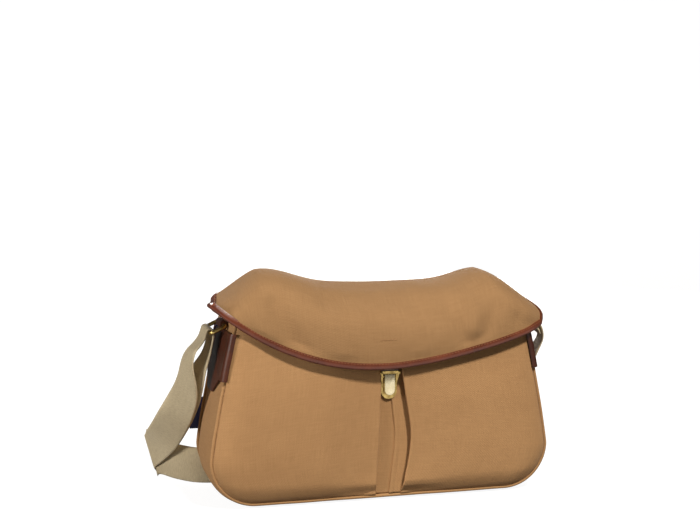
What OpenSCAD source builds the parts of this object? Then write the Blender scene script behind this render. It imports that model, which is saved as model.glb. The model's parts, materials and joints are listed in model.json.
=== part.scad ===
// Messenger bag: cotton drill body on a gusset, leather-bound flap, two front pockets,
// brass tuck lock, and a webbing shoulder strap on two brass loops.
// Millimetres. Origin at the centre of the flat base, +Z up, the front faces -Y.

/* [Body] */
// Width at the widest place, just above the lower corners
body_w = 352; // [346:1:360]
// Width at the mouth
mouth_w = 295; // [290:1:300]
// Height of the mouth rim
rim_h = 192; // [188:1:196]
// Depth between the front and back seams
seam_d = 92; // [88:1:96]
// Radius of the lower corners
corner_r = 50; // [44:1:56]
// Thickness of the front and back panels
panel_t = 2; // [1.6:0.1:2.4]
// Width of the piped seam, outwards from the panel
piping_w = 3.5; // [3:0.1:4]
// Height of the lower seam above the base
seam_lift = 6; // [4:0.5:8]

/* [Pockets] */
// How far the front pockets stand out at the fullest place
pocket_bulge = 12; // [10:0.5:13]
// Height of the pocket mouth beside the lock
pocket_h = 160; // [150:1:165]
// Place of the pleat between the pockets, right of the centre
pleat_x = 5; // [3:0.5:7]
// Width of the strip seen in the pleat
pleat_w = 26; // [24:1:30]

/* [Flap] */
// Width of the flap across its front corners
flap_w = 350; // [346:1:354]
// Width of the flap where it joins the back
flap_root_w = 284; // [276:1:290]
// Height of the flap over the middle of the mouth
flap_top = 218; // [215:1:222]
// Height of the middle of the front edge
flap_edge = 140; // [138:1:146]
// Width of the leather binding
binding_w = 6; // [5:0.5:7]

/* [Lock] */
// Height of the middle of the lock
lock_z = 120; // [118:0.5:122]
// Width of the lock base
lock_w = 16.6; // [16:0.1:17.4]
// Width of the hasp
hasp_w = 21; // [20:0.5:22]

/* [Strap] */
// Width of the webbing
strap_w = 38; // [36:1:38]
// Thickness of the webbing
strap_t = 2.2; // [1.8:0.1:2.4]
// Wire radius of the brass loops
wire_r = 2; // [1.9:0.05:2.1]
// How far the loops hang below the level
loop_tilt = 25; // [20:1:28]

/* [Hidden] */

drill = "#b98d5c";
lining_cloth = "#8f7a55";
leather = "#6e3420";
brass = "#c3a55c";
polished_brass = "#e6dcae";
webbing = "#bdae86";
navy = "#20284f";

// Body
half_w = body_w / 2;
seam_y = seam_d / 2;                 // inner faces of the two panels
face_y = seam_y + panel_t;           // outer faces of the two panels
piping_y = face_y + 2;               // outer faces of the piping
side_lean = 1.15;                    // how the sides draw in towards the mouth
gusset_t = 2;
corner_steps = 8;
wall_step = 15.5;                    // height between the corners of the polygonal walls
far = 300;                           // half the length of every cutting block

// Leather side patches
patch_t = 2;
patch_grow = piping_w + patch_t;
patch_wrap = 2;
patch_top = 179;
patch_low = 132;
patch_tab_low = 116;
patch_y = piping_y + patch_t;

// Lining
lining_gap = 4;
lining_t = 1;
lining_top = rim_h - 4;

// Brass loops and the leather chapes that hold them
loop_z = 183;
loop_len_y = 45;
loop_len_x = 16;
loop_corner = 4;
chape_w = 28;
chape_wall = 2.4;
chape_tail_t = 1.8;
chape_low = 150;
bore_gap = 0.08;

// Flap
flap_t = 1.6;
flap_lining_t = 1;
skin_gap = 0.05;
hinge_y = face_y + 1.3;
hinge_z = rim_h + 1;
ridge_y = 20;
ridge_v = 0.28;
roundness = 2 / 2.8;
flap_nu = 36;
flap_nv = 16;
binding_u = binding_w / (flap_w / 2) + 0.004;
binding_v = binding_w / 125;
binding_gap = 0.001;
corner_lift = 65;
corner_lift_right = 38;
corner_round = 5;                    // how far the right front corner is rounded off
hump_left = [-110, 16.5, 44];        // raised ends of the ridge: place, height and spread
hump_right = [122, 12, 36];
ridge_end = 118;                     // past here the ridge falls away
ridge_end_reach = 54;
ridge_fall_left = 21;
ridge_fall_right = 25;
edge_depth = 66;                     // how far forward the middle of the front edge hangs
edge_back_left = 16;                 // how far its corners turn back
edge_back_right = 22;

// Pleat and lock
strip_t = 1.5;
strip_y = face_y + strip_t;          // the lock sits on this face
pocket_t = 1.6;
pocket_margin = patch_wrap + 2;
pocket_nu = 20;
pocket_nv = 14;
pocket_foot = seam_lift + 4;
pocket_side_h = 186;
plate_t = 1.6;
lever_w = 10.4;
collar_in = lever_w + 0.5;
collar_out = collar_in + 1.8;
collar_n = 4.8;
lever_lo = 2.4;
lever_hi = 5;
pin_r = 0.7;
pin_s = 3;
pin_n = 3.7;
rivet_r = 1.2;
rivet_gap = 0.02;
rivet_s = [-5, 8];
backplate_t = 0.8;
hasp_lo = plate_t + 0.3;
hasp_plate = 1.2;
tab_t = 1.8;
tab_w = 18;
tab_n = hasp_lo + hasp_plate;        // back face of the leather in the hasp
hasp_s = [11.5, 16];                 // foot and head of the clamp, above the lock centre
tab_hang_y = 62.6;                   // front face of the leather where it is sewn to the flap
tab_top = 148;
tab_bend = 143;
tab_fold_s = 17.2;                   // the leather's bend, above the lock centre
hasp_rivet_x = 6;

// Strap: centre line of the doubled webbing from the left loop, behind the bag, to the right
// loop. Each row is x, y, z and the direction of the webbing's width.
strap_route = [
    [-170.7, 0, 176, 0, 1, 0],
    [-174, 3, 154.5, -0.06, 1, -0.05],
    [-180.5, 9, 137, -0.18, 0.98, 0],
    [-187.5, 18, 118, -0.4, 0.91, 0.1],
    [-194, 30, 99.5, -0.6, 0.77, 0.22],
    [-202, 48, 77, -0.75, 0.55, 0.35],
    [-210.5, 74, 53, -0.72, 0.55, 0.42],
    [-218, 99, 35, -0.4, 0.42, 0.8],
    [-221, 108, 28, -0.2, 0.3, 0.93],
    [-212, 101, 23.5, -0.1, 0.15, 0.98],
    [-195, 79, 22, 0, 0.05, 1],
    [-174, 62, 21, 0, 0, 1],
    [-140, 58.5, 20.5, 0, 0, 1],
    [-95, 64, 20.5, 0, 0, 1],
    [-50, 73, 21.5, 0, 0, 1],
    [0, 76, 22.8, 0, 0, 1],
    [40, 76, 23.5, 0, 0, 1],
    [80, 76, 22.8, 0, 0, 1],
    [125, 76, 21.5, 0, 0, 1],
    [158, 84, 25, 0.03, 0.1, 0.99],
    [175, 84, 42, 0.12, 0.4, 0.9],
    [180, 70, 66, 0.15, 0.62, 0.77],
    [180, 50, 93, 0.15, 0.8, 0.58],
    [180, 30, 119, 0.18, 0.95, 0.3],
    [186, 14, 140, 0.24, 0.96, 0.1],
    [190, 7, 155, 0.24, 0.97, 0],
    [183, 1, 168, 0.05, 1, 0],
    [170.7, 0, 176, 0, 1, 0]];
layer_gap = 1.6;                     // from the centre line to each layer
wrap_r = wire_r + 0.5 + strap_t / 2; // middle of the webbing round a loop's bar
slide_x = 40;
slide_z = 23.5;
slide_bar_r = 1.4;
slide_len = 26;
slide_wrap = slide_bar_r + 0.4 + strap_t / 2;
slide_out = 7;                       // how far the outer layer stands off inside the slide
slide_rail_z = strap_w / 2 + 0.8;
slide_rail_t = 2.4;

// Swing tag: string route from the left chape to the card
string_r = 0.8;
string_route = [[-157.8, 14.4, 180], [-158.4, 18, 178.8], [-160.2, 24, 174.5], [-164, 34, 158],
    [-168, 45, 136], [-172, 57, 114], [-173, 61, 102], [-173, 61, 96]];
tag_size = [22, 1, 34];
tag_pos = [-173, 61, 79];

// ---- helpers ----------------------------------------------------------------------------
function unit(v) = v / norm(v);
function mix(a, b, t) = a * (1 - t) + b * t;
function clamp01(t) = max(0, min(1, t));
function smooth(t) = let (c = clamp01(t)) c * c * (3 - 2 * c);
function bell(t) = exp(-t * t);

// Half width of the body's outline at height z above the corner centre
function wall_x(z) = half_w
    - (body_w - mouth_w) / 2 * pow(max(0, z - corner_r) / (rim_h - corner_r), side_lean);

// The same on the straight chords that the walls are built from
function chord_x(z) = let (
        i = floor((z - corner_r) / wall_step),
        low = corner_r + wall_step * i)
    mix(wall_x(low), wall_x(low + wall_step), (z - low) / wall_step);

// Half width of a panel at any height
function panel_x(z) = z >= corner_r ? wall_x(z)
    : half_w - corner_r + seam_lift
        + sqrt(max(0, pow(corner_r - seam_lift, 2) - pow(corner_r - z, 2)));

// Right half of an outline: grown outwards by grow, its bottom raised by lift
function half_outline(grow, lift, top) = concat(
    [for (i = [0 : corner_steps]) let (a = -90 + 90 * i / corner_steps, r = corner_r - lift + grow)
        [half_w - corner_r + lift + r * cos(a), corner_r + r * sin(a)]],
    [for (i = [1 : 30]) let (z = corner_r + wall_step * i) if (z < top) [wall_x(z) + grow, z]],
    [[chord_x(top) + grow, top]]);

function outline(grow, lift, top) = let (right = half_outline(grow, lift, top), n = len(right))
    concat(right, [for (i = [n - 1 : -1 : 0]) [-right[i][0], right[i][1]]]);

// Outline seen from the front, extruded from y0 to y1
module front_shape(grow, lift, top, y0, y1) {
    translate([0, y1, 0])
        rotate([90, 0, 0])
            linear_extrude(height = y1 - y0)
                polygon(outline(grow, lift, top));
}

// Outline seen from the side, extruded from x0 to x1
module side_shape(points, x0, x1) {
    translate([x0, 0, 0])
        rotate([90, 0, 90])
            linear_extrude(height = x1 - x0)
                polygon(points);
}

// Closed skin from a grid of points, each row as long as the others
module grid_solid(top, low) {
    rows = len(top);
    cols = len(top[0]);
    count = rows * cols;
    points = concat([for (r = top) for (p = r) p], [for (r = low) for (p = r) p]);
    function id(i, j) = i * cols + j;
    faces = concat(
        [for (i = [0 : rows - 2]) for (j = [0 : cols - 2]) each [
            [id(i, j), id(i + 1, j), id(i + 1, j + 1)],
            [id(i, j), id(i + 1, j + 1), id(i, j + 1)]]],
        [for (i = [0 : rows - 2]) for (j = [0 : cols - 2]) each [
            [count + id(i, j), count + id(i + 1, j + 1), count + id(i + 1, j)],
            [count + id(i, j), count + id(i, j + 1), count + id(i + 1, j + 1)]]],
        [for (j = [0 : cols - 2]) each [
            [id(0, j), id(0, j + 1), count + id(0, j + 1)],
            [id(0, j), count + id(0, j + 1), count + id(0, j)],
            [id(rows - 1, j), count + id(rows - 1, j + 1), id(rows - 1, j + 1)],
            [id(rows - 1, j), count + id(rows - 1, j), count + id(rows - 1, j + 1)]]],
        [for (i = [0 : rows - 2]) each [
            [id(i, 0), count + id(i + 1, 0), id(i + 1, 0)],
            [id(i, 0), count + id(i, 0), count + id(i + 1, 0)],
            [id(i, cols - 1), id(i + 1, cols - 1), count + id(i + 1, cols - 1)],
            [id(i, cols - 1), count + id(i + 1, cols - 1), count + id(i, cols - 1)]]]);
    polyhedron(points = points, faces = faces, convexity = 10);
}

// Closed tube from rings of points in the same order
module ring_solid(rings) {
    n = len(rings[0]);
    last = len(rings) - 1;
    points = [for (r = rings) for (p = r) p];
    faces = concat(
        [[for (j = [0 : n - 1]) j]],
        [[for (j = [n - 1 : -1 : 0]) last * n + j]],
        [for (i = [0 : last - 1]) for (j = [0 : n - 1]) let (k = (j + 1) % n) each [
            [i * n + j, (i + 1) * n + j, (i + 1) * n + k],
            [i * n + j, (i + 1) * n + k, i * n + k]]]);
    polyhedron(points = points, faces = faces, convexity = 10);
}

// Smooth curve through the rows of a list, at t from 0 to 1
function through(rows, t) = let (
        n = len(rows) - 1, s = clamp01(t) * n, i = min(n - 1, floor(s)), f = s - i,
        a = rows[max(0, i - 1)], b = rows[i], c = rows[i + 1], d = rows[min(n, i + 2)])
    0.5 * ((2 * b) + (c - a) * f + (2 * a - 5 * b + 4 * c - d) * f * f
        + (3 * b - a - 3 * c + d) * f * f * f);

// ---- body -------------------------------------------------------------------------------
module rivet_holes(radius) {
    for (s = rivet_s)
        translate([pleat_x, 0, lock_z + s])
            rotate([90, 0, 0])
                cylinder(r = radius, h = 2 * face_y, $fn = 32);
}

module back_panel() {
    color(drill) front_shape(0, seam_lift, rim_h, seam_y, face_y);
}

module front_panel() {
    color(drill) difference() {
        front_shape(0, seam_lift, rim_h, -face_y, -seam_y);
        rivet_holes(rivet_r + rivet_gap);
    }
}

module gusset() {
    foot = seam_y - seam_lift;
    color(drill) intersection() {
        difference() {
            front_shape(0, 0, rim_h, -seam_y, seam_y);
            front_shape(-gusset_t, 0, rim_h + 1, -far, far);
        }
        side_shape([[-foot, 0], [foot, 0], [seam_y, seam_lift], [seam_y, far], [-seam_y, far],
            [-seam_y, seam_lift]], -far, far);
    }
}

module piping(y0, y1) {
    difference() {
        front_shape(piping_w, seam_lift, rim_h, y0, y1);
        front_shape(0, seam_lift, rim_h + 1, -far, far);
    }
}

module front_piping() {
    color(drill) piping(-piping_y, -seam_y);
}

module back_piping() {
    color(drill) piping(seam_y, piping_y);
}

module lining() {
    wall = lining_gap + lining_t;
    color(lining_cloth) difference() {
        front_shape(-lining_gap, seam_lift, lining_top, lining_gap - seam_y, seam_y - lining_gap);
        front_shape(-wall, seam_lift, lining_top + 1, wall - seam_y, seam_y - wall);
    }
}

// ---- pockets and pleat ------------------------------------------------------------------
function pocket_top(x) = pocket_h + (pocket_side_h - pocket_h) * pow(min(1, abs(x) / 150), 2);

// A point of a pocket's wall: side is -1 or 1, u runs outwards, w upwards, out is its thickness
function pocket_point(side, u, w, out) = let (
        inner = pleat_x * side + pleat_w / 2,
        guess = mix(pocket_foot, pocket_h, w),
        x_guess = mix(inner, panel_x(guess) - pocket_margin, u),
        z = mix(pocket_foot, pocket_top(x_guess), w),
        x = mix(inner, panel_x(z) - pocket_margin, u),
        across = pow(max(0, sin(180 * u)), 0.6),
        up = w < 0.45 ? sin(90 * w / 0.45) : mix(1, 0.6, smooth((w - 0.45) / 0.55)))
    [side * x, -face_y - pocket_bulge * across * up - out, z];

module pocket(side) {
    function sheet(out) = [for (i = [0 : pocket_nu]) [for (j = [0 : pocket_nv])
        pocket_point(side, i / pocket_nu, j / pocket_nv, out)]];
    if (side > 0)
        grid_solid(sheet(0), sheet(pocket_t));
    else
        grid_solid(sheet(pocket_t), sheet(0));
}

module pocket_left() {
    color(drill) pocket(-1);
}

module pocket_right() {
    color(drill) pocket(1);
}

module centre_pleat() {
    width = pleat_w - 1;
    color(drill) difference() {
        translate([pleat_x - width / 2, -strip_y, pocket_foot])
            cube([width, strip_t, pocket_h - pocket_foot]);
        rivet_holes(rivet_r + rivet_gap);
    }
}

// ---- leather patches, chapes and loops --------------------------------------------------
module patch_block(top) {
    intersection() {
        front_shape(patch_grow, 0, top, -patch_y, patch_y);
        side_shape([[-far, top], [-far, patch_low], [-38, patch_low], [-16, patch_tab_low],
            [16, patch_tab_low], [38, patch_low], [far, patch_low], [far, top]], 0, far);
    }
}

module side_patch() {
    difference() {
        patch_block(patch_top);
        front_shape(-patch_wrap, 0, far, -far, far);
        front_shape(0, 0, far, -face_y, face_y);
        piping(-piping_y, -seam_y);
        piping(seam_y, piping_y);
    }
}

module side_patch_left() {
    color(leather) mirror([1, 0, 0]) side_patch();
}

module side_patch_right() {
    color(leather) side_patch();
}

function loop_x() = wall_x(loop_z) + 6.8;
loop_tip = [loop_x() + loop_len_x * cos(loop_tilt), 0, loop_z - loop_len_x * sin(loop_tilt)];

module chape() {
    difference() {
        union() {
            translate([loop_x(), chape_w / 2, loop_z])
                rotate([90, 0, 0])
                    cylinder(r = wire_r + chape_wall, h = chape_w, $fn = 48);
            intersection() {
                difference() {
                    front_shape(patch_grow + chape_tail_t, 0, loop_z - 1, -chape_w / 2, chape_w / 2);
                    front_shape(patch_grow, 0, far, -far, far);
                }
                translate([0, -far, chape_low])
                    cube([far, 2 * far, loop_z - chape_low]);
            }
        }
        patch_block(patch_top);
        front_shape(0, 0, far, -far, far);
        translate([loop_x(), far, loop_z])
            rotate([90, 0, 0])
                cylinder(r = wire_r + bore_gap, h = 2 * far, $fn = 48);
    }
}

module chape_left() {
    color(leather) mirror([1, 0, 0]) chape();
}

module chape_right() {
    color(leather) chape();
}

module wire(length) {
    cylinder(r = wire_r, h = length, center = true, $fn = 32);
}

// Rounded rectangular loop of wire, its inner bar on the Y axis
module wire_loop() {
    straight_y = loop_len_y - 2 * loop_corner;
    straight_x = loop_len_x - 2 * loop_corner;
    for (x = [0, loop_len_x])
        translate([x, 0, 0])
            rotate([90, 0, 0])
                wire(straight_y);
    for (side = [-1, 1])
        translate([loop_len_x / 2, side * loop_len_y / 2, 0])
            rotate([0, 90, 0])
                wire(straight_x);
    for (turn = [0 : 3])
        translate([loop_len_x / 2, 0, 0])
            rotate([0, 0, turn * 90])
                translate(turn % 2 == 0 ? [straight_x / 2, straight_y / 2, 0]
                    : [straight_y / 2, straight_x / 2, 0])
                    rotate_extrude(angle = 90, $fn = 48)
                        translate([loop_corner, 0])
                            circle(r = wire_r, $fn = 32);
}

module placed_loop() {
    translate([loop_x(), 0, loop_z])
        rotate([0, loop_tilt, 0])
            wire_loop();
}

module loop_left() {
    color(brass) mirror([1, 0, 0]) placed_loop();
}

module loop_right() {
    color(brass) placed_loop();
}

// ---- strap ------------------------------------------------------------------------------
function route_xyz(t) = let (r = through(strap_route, t)) [r[0], r[1], r[2]];
function route_w(t) = let (r = through(strap_route, t)) unit([r[3], r[4], r[5]]);
function route_n(t) = unit(cross(route_xyz(t + 0.004) - route_xyz(t - 0.004), route_w(t)));

slide_t = 16 / 27;                   // the slide's place along the route
run_steps = 90;
tail_t = 0.94;                       // where the sewn tail at the right loop ends
left_bow_out = 12;

// Distance of each layer from the centre line, along the width's normal
function near_end(t) = bell(t / 0.035) + bell((1 - t) / 0.035);
function near_slide(t) = bell((t - slide_t) / 0.045);

// The outer layer stands away from the inner one below the left loop
function left_bow(t) = left_bow_out * bell((t - 0.055) / 0.05) * smooth(t / 0.04);
function outer_off(t) = -(layer_gap + (wrap_r - layer_gap) * near_end(t)
    + (slide_out - layer_gap) * near_slide(t) + left_bow(t));
function inner_off(t) = layer_gap + (wrap_r - layer_gap) * near_end(t)
    + (slide_wrap - layer_gap) * near_slide(t);

function outer_station(t) = [route_xyz(t) + outer_off(t) * route_n(t), route_w(t)];
function inner_station(t) = [route_xyz(t) + inner_off(t) * route_n(t), route_w(t)];

// Half turn of the webbing round a loop's bar; from is the first angle in the XZ plane
function turn_at(centre, from, sweep) = [for (i = [0 : 8]) let (a = from + sweep * i / 8)
    [centre + wrap_r * [cos(a), 0, sin(a)], [0, 1, 0]]];

// Half turn round the slide's middle bar, which stands on end
slide_bar = [slide_x, 76, slide_z];
slide_turn = [for (i = [0 : 6]) let (a = 90 - 180 * i / 6)
    [slide_bar + slide_wrap * [cos(a), sin(a), 0], [0, 0, 1]]];

first_t = 0.012;
left_n = route_n(first_t);
right_n = route_n(1 - first_t);
left_angle = atan2(left_n[2], left_n[0]);
right_angle = atan2(-right_n[2], -right_n[0]);
left_bar = [-loop_tip[0], 0, loop_tip[2]];

strap_line = concat(
    [for (x = [slide_x - 20, slide_x - 10]) [[x, slide_bar[1] + slide_wrap, slide_z], [0, 0, 1]]],
    slide_turn,
    [for (i = [run_steps : -1 : 0]) let (t = i / run_steps)
        if (t < slide_t - 0.008 && t > first_t) inner_station(t)],
    turn_at(left_bar, left_angle, 180),
    [for (i = [0 : run_steps]) let (t = i / run_steps)
        if (t > first_t && t < 1 - first_t) outer_station(t)],
    turn_at(loop_tip, right_angle, 180),
    [for (i = [run_steps : -1 : 0]) let (t = i / run_steps)
        if (t > tail_t && t < 1 - first_t) inner_station(t)]);

function webbing_ring(line, i) = let (
        n = len(line) - 1,
        ahead = unit(line[min(n, i + 1)][0] - line[max(0, i - 1)][0]),
        turn = cross(ahead, line[i][1]),
        out = unit(turn) * strap_t / 2,
        wide = line[i][1] / max(norm(turn), 0.7) * strap_w / 2,
        p = line[i][0])
    [p + wide + out, p + wide - out, p - wide - out, p - wide + out];

module strap() {
    color(webbing) ring_solid([for (i = [0 : len(strap_line) - 1]) webbing_ring(strap_line, i)]);
}

module strap_slide() {
    far_bar_y = slide_bar[1] + slide_out + strap_t / 2 + slide_bar_r + 0.6;
    rail = slide_len + 2 * slide_bar_r;
    height = 2 * (slide_rail_z + slide_rail_t);
    color(brass) union() {
        for (x = [-1, 1])
            translate([slide_x + x * slide_len / 2, far_bar_y, slide_z])
                cylinder(r = slide_bar_r, h = height - 1, center = true, $fn = 24);
        translate(slide_bar)
            cylinder(r = slide_bar_r, h = height - 1, center = true, $fn = 24);
        for (z = [-slide_rail_z - slide_rail_t, slide_rail_z])
            translate([slide_x - rail / 2, slide_bar[1] - slide_bar_r, slide_z + z])
                cube([rail, far_bar_y - slide_bar[1] + 2 * slide_bar_r, slide_rail_t]);
    }
}

// ---- flap -------------------------------------------------------------------------------
// Height of the flap's crest over the contents, which push up on both sides of the middle
function hump(h, x) = h[1] * bell((x - h[0]) / h[2]);
function ridge_z(x) = flap_top + hump(hump_left, x) + hump(hump_right, x)
    - (x < 0 ? ridge_fall_left : ridge_fall_right)
        * pow(max(0, abs(x) - ridge_end) / ridge_end_reach, 1.15);

// The front edge, in height and in depth
function edge_z(x) = flap_edge
    + (x < 0 ? corner_lift * pow(-x / 174, 2.26) : corner_lift_right * pow(x / 174, 1.6));
function edge_y(x) = -edge_depth
    + (x < 0 ? edge_back_left * pow(-x / 174, 3) : edge_back_right * pow(x / 172, 12));

function flap_half(v) = mix(flap_root_w, flap_w, pow(sin(90 * clamp01(v / 0.7)), 0.8)) / 2;

// A point of the flap: u runs from left to right, v from the back to the front edge
function flap_point(u, v) = let (
        x = u * flap_half(v) - corner_round * smooth((u - 0.85) / 0.15) * pow(clamp01((v - 0.8) / 0.2), 2),
        a = 90 * v / ridge_v,
        b = 90 * clamp01((v - ridge_v) / (1 - ridge_v)))
    v < ridge_v
        ? [x, ridge_y + (hinge_y - ridge_y) * cos(a), hinge_z + (ridge_z(x) - hinge_z) * sin(a)]
        : [x, ridge_y - (ridge_y - edge_y(x)) * pow(sin(b), roundness),
            edge_z(x) + (ridge_z(x) - edge_z(x)) * pow(max(0, cos(b)), roundness)];

function flap_normal(u, v) = let (
        du = flap_point(u + 0.01, v) - flap_point(u - 0.01, v),
        dv = flap_point(u, min(1, v + 0.01)) - flap_point(u, max(0, v - 0.01)))
    unit(cross(dv, du));

function flap_at(u, v, out) = flap_point(u, v) + out * flap_normal(u, v);

function flap_sheet(out) = [for (j = [0 : flap_nv]) [for (i = [0 : flap_nu])
    flap_at((2 * i / flap_nu - 1) * (1 - binding_u), j / flap_nv * (1 - binding_v), out)]];

module flap() {
    color(drill) grid_solid(flap_sheet(flap_t / 2), flap_sheet(-flap_t / 2));
}

module flap_lining() {
    top = -flap_t / 2 - skin_gap;
    color(lining_cloth) grid_solid(flap_sheet(top), flap_sheet(top - flap_lining_t));
}

// The binding runs down the left side, along the front edge and up the right side
function rim_uv() = concat(
    [for (j = [0 : flap_nv]) [-1, j / flap_nv]],
    [for (i = [1 : flap_nu]) [2 * i / flap_nu - 1, 1]],
    [for (j = [flap_nv - 1 : -1 : 0]) [1, j / flap_nv]]);

module flap_binding() {
    high = 1.5;
    low = -2.6;
    inner_u = 1 - binding_u + binding_gap;
    inner_v = 1 - binding_v + binding_gap;
    color(leather) ring_solid([for (p = rim_uv()) let (q = [p[0] * inner_u, p[1] * inner_v]) [
        flap_at(p[0], p[1], high), flap_at(q[0], q[1], high),
        flap_at(q[0], q[1], low), flap_at(p[0], p[1], low)]]);
}

// ---- lock -------------------------------------------------------------------------------
// The lock is drawn lying flat: x to the right, y up the bag, z outwards from the strip
module on_front() {
    translate([pleat_x, -strip_y, lock_z])
        rotate([90, 0, 0])
            children();
}

// A plate with a round foot and a square head
module tongue(width, foot, head, low, high) {
    translate([0, 0, low])
        linear_extrude(height = high - low) {
            translate([0, foot + width / 2])
                circle(d = width, $fn = 64);
            translate([-width / 2, foot + width / 2])
                square([width, head - foot - width / 2]);
        }
}

module cross_pin(radius, length) {
    translate([0, pin_s, pin_n])
        rotate([0, 90, 0])
            cylinder(r = radius, h = length, center = true, $fn = 32);
}

module lock_base() {
    color(brass) on_front() difference() {
        union() {
            tongue(lock_w, -13.5, 10.5, 0, plate_t);
            tongue(collar_out, -10, 8, 0, collar_n);
        }
        tongue(collar_in, -9.1, 20, plate_t, 20);
        cross_pin(pin_r + rivet_gap, 40);
        for (s = rivet_s)
            translate([0, s, -1])
                cylinder(r = rivet_r + rivet_gap, h = 10, $fn = 32);
    }
}

module lock_backplate() {
    behind = strip_t + panel_t;
    color(brass) on_front() difference() {
        tongue(lock_w, -13.5, 13, -behind - backplate_t, -behind);
        for (s = rivet_s)
            translate([0, s, -10])
                cylinder(r = rivet_r + rivet_gap, h = 20, $fn = 32);
    }
}

module lock_rivets() {
    behind = strip_t + panel_t + backplate_t;
    color(brass) on_front() for (s = rivet_s)
        translate([0, s, -behind]) {
            cylinder(r = rivet_r, h = behind + plate_t, $fn = 32);
            translate([0, 0, -0.8])
                cylinder(r = 2, h = 0.8, $fn = 32);
        }
}

module lock_pin() {
    color(brass) on_front() cross_pin(pin_r, collar_out);
}

module lock_spring() {
    color(brass) on_front() translate([-2.5, -1.2, plate_t]) cube([5, 2.6, 0.45]);
}

module lock_lever() {
    color(polished_brass) on_front() difference() {
        tongue(lever_w, -8.85, 12.2, lever_lo, lever_hi);
        cross_pin(pin_r + 0.06, 40);
    }
}

module lock_hasp() {
    foot = hasp_s[0];
    head = hasp_s[1];
    inner = collar_out / 2 + 0.4;
    front_n = tab_n + tab_t;
    color(brass) on_front() difference() {
        union() {
            translate([-hasp_w / 2, foot + 1.5, hasp_lo])
                cube([hasp_w, head - foot - 1.5, hasp_plate]);
            for (side = [-1, 1])
                translate([0, 0, hasp_lo])
                    linear_extrude(height = hasp_plate)
                        polygon([[side * inner, 3], [side * inner, foot + 1.6],
                            [side * hasp_w / 2, foot + 1.6], [side * (hasp_w / 2 - 2.6), 3]]);
            translate([-hasp_w / 2, foot + 1.5, front_n])
                cube([hasp_w, head - foot - 1.5, hasp_plate]);
            for (side = [-1, 1])
                translate([side * (hasp_w / 2 - 0.65) - 0.65, foot + 1.5, hasp_lo])
                    cube([1.3, head - foot - 1.5, front_n + hasp_plate - hasp_lo]);
        }
        hasp_holes(rivet_r + rivet_gap);
    }
}

module hasp_holes(radius) {
    for (x = [-hasp_rivet_x, hasp_rivet_x])
        translate([x, (hasp_s[0] + 1.5 + hasp_s[1]) / 2, 0])
            cylinder(r = radius, h = 20, $fn = 32);
}

module hasp_rivets() {
    color(brass) on_front() intersection() {
        hasp_holes(rivet_r);
        translate([-20, 0, hasp_lo])
            cube([40, 40, 2 * hasp_plate + tab_t]);
    }
}

// The leather bends at the top of the clamp: this piece stays in it, the tab above stays on the flap
module hasp_leather() {
    back = -strip_y - tab_n;
    color(leather) difference() {
        union() {
            translate([pleat_x - tab_w / 2, back - tab_t, lock_z + hasp_s[0] + 1.5])
                cube([tab_w, tab_t, tab_fold_s - hasp_s[0] - 1.5]);
            translate([pleat_x, back - tab_t / 2, lock_z + tab_fold_s])
                rotate([0, 90, 0])
                    cylinder(r = tab_t / 2, h = tab_w, center = true, $fn = 32);
        }
        on_front() hasp_holes(rivet_r + rivet_gap);
    }
}

module lock_tab() {
    back = -strip_y - tab_n;
    front = back - tab_t;
    foot = lock_z + tab_fold_s + tab_t / 2 + 0.25;
    color(leather) side_shape([[back, foot], [tab_t - tab_hang_y, tab_bend],
        [tab_t - tab_hang_y, tab_top], [-tab_hang_y, tab_top], [-tab_hang_y, tab_bend - tab_t / 2],
        [front, foot]], pleat_x - tab_w / 2, pleat_x + tab_w / 2);
}

// ---- swing tag --------------------------------------------------------------------------
function string_ring(i, n) = let (
        p = through(string_route, i / n),
        ahead = unit(through(string_route, (i + 0.5) / n) - through(string_route, (i - 0.5) / n)),
        a = unit(cross(ahead, [0, 1, 0])),
        b = cross(ahead, a))
    [for (k = [0 : 7]) p + string_r * (cos(45 * k) * a - sin(45 * k) * b)];

module tag_string() {
    steps = 24;
    color(navy) ring_solid([for (i = [0 : steps]) string_ring(i, steps)]);
}

module swing_tag() {
    color(navy) translate(tag_pos)
        cube(tag_size, center = true);
}

back_panel();
front_panel();
gusset();
front_piping();
back_piping();
lining();
pocket_left();
pocket_right();
centre_pleat();
side_patch_left();
side_patch_right();
chape_left();
chape_right();
loop_left();
loop_right();
strap();
strap_slide();
flap();
flap_lining();
flap_binding();
lock_base();
lock_backplate();
lock_rivets();
lock_pin();
lock_spring();
lock_lever();
lock_tab();
lock_hasp();
hasp_leather();
hasp_rivets();
tag_string();
swing_tag();
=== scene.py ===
"""Looks of the messenger bag: cotton drill, bridle leather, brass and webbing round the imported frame."""
import json
import math

import bpy
import numpy as np
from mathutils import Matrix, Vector, noise


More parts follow.
